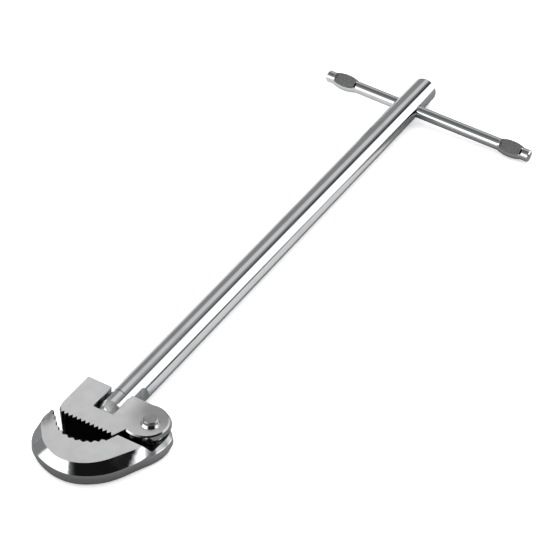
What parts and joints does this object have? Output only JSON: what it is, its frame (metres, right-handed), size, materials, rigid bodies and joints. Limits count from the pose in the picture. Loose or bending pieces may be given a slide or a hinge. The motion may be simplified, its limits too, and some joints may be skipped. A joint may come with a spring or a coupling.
{
  "type": "basin wrench",
  "caption": "Basin wrench with a round shaft, a sliding T-bar handle and a swivelling head whose toothed hook jaw closes on a toothed heel jaw under a spring",
  "frame": {"origin": "On the flat underside of the heel jaw, on the shaft's centre line, between the heel's teeth and the floor of its fork", "axes": "+X along the shaft from the head to the T-bar, +Y across the head towards the tip of the hook, +Z normal to the head, up from the face the wrench lies on"},
  "size_m": [0.2811, 0.0963, 0.0132],
  "materials": {
    "polished_chrome": "polished chrome plate",
    "ground_steel": "chrome plate over satin ground flats",
    "forged_chrome": "chrome plate, polished outside, satin ground on top",
    "rivet_steel": "plated steel",
    "spring_wire": "bright spring wire",
    "washer_steel": "spring steel"
  },
  "bodies": {
    "handle": {"shaft": "polished_chrome"},
    "bar": {"t_bar": "polished_chrome"},
    "head": {"heel_jaw": "ground_steel", "swivel_pin": "rivet_steel", "friction_washer": "washer_steel", "jaw_rivet": "rivet_steel", "rivet_washer": "rivet_steel", "jaw_spring": "spring_wire"},
    "hook": {"hook_jaw": "forged_chrome"}
  },
  "joints": [
    {"name": "bar_slide", "type": "slide", "parent": "handle", "child": "bar", "axis": [0, 0.9993, 0.0366], "range_m": [-0.0188, 0.0378]},
    {"name": "head_swivel", "type": "hinge", "parent": "handle", "child": "head", "pos_m": [0.0098, 0, 0.0056], "axis": [0, 1, 0], "range_deg": [-94, 94]},
    {"name": "jaw_open", "type": "hinge", "parent": "head", "child": "hook", "pos_m": [0.00745, -0.0167, 0.0056], "axis": [0, 0, 1], "range_deg": [0, 85], "stiffness_Nm_per_rad": 0.18, "springref_deg": -28.65, "deforming": ["jaw_spring"]}
  ]
}
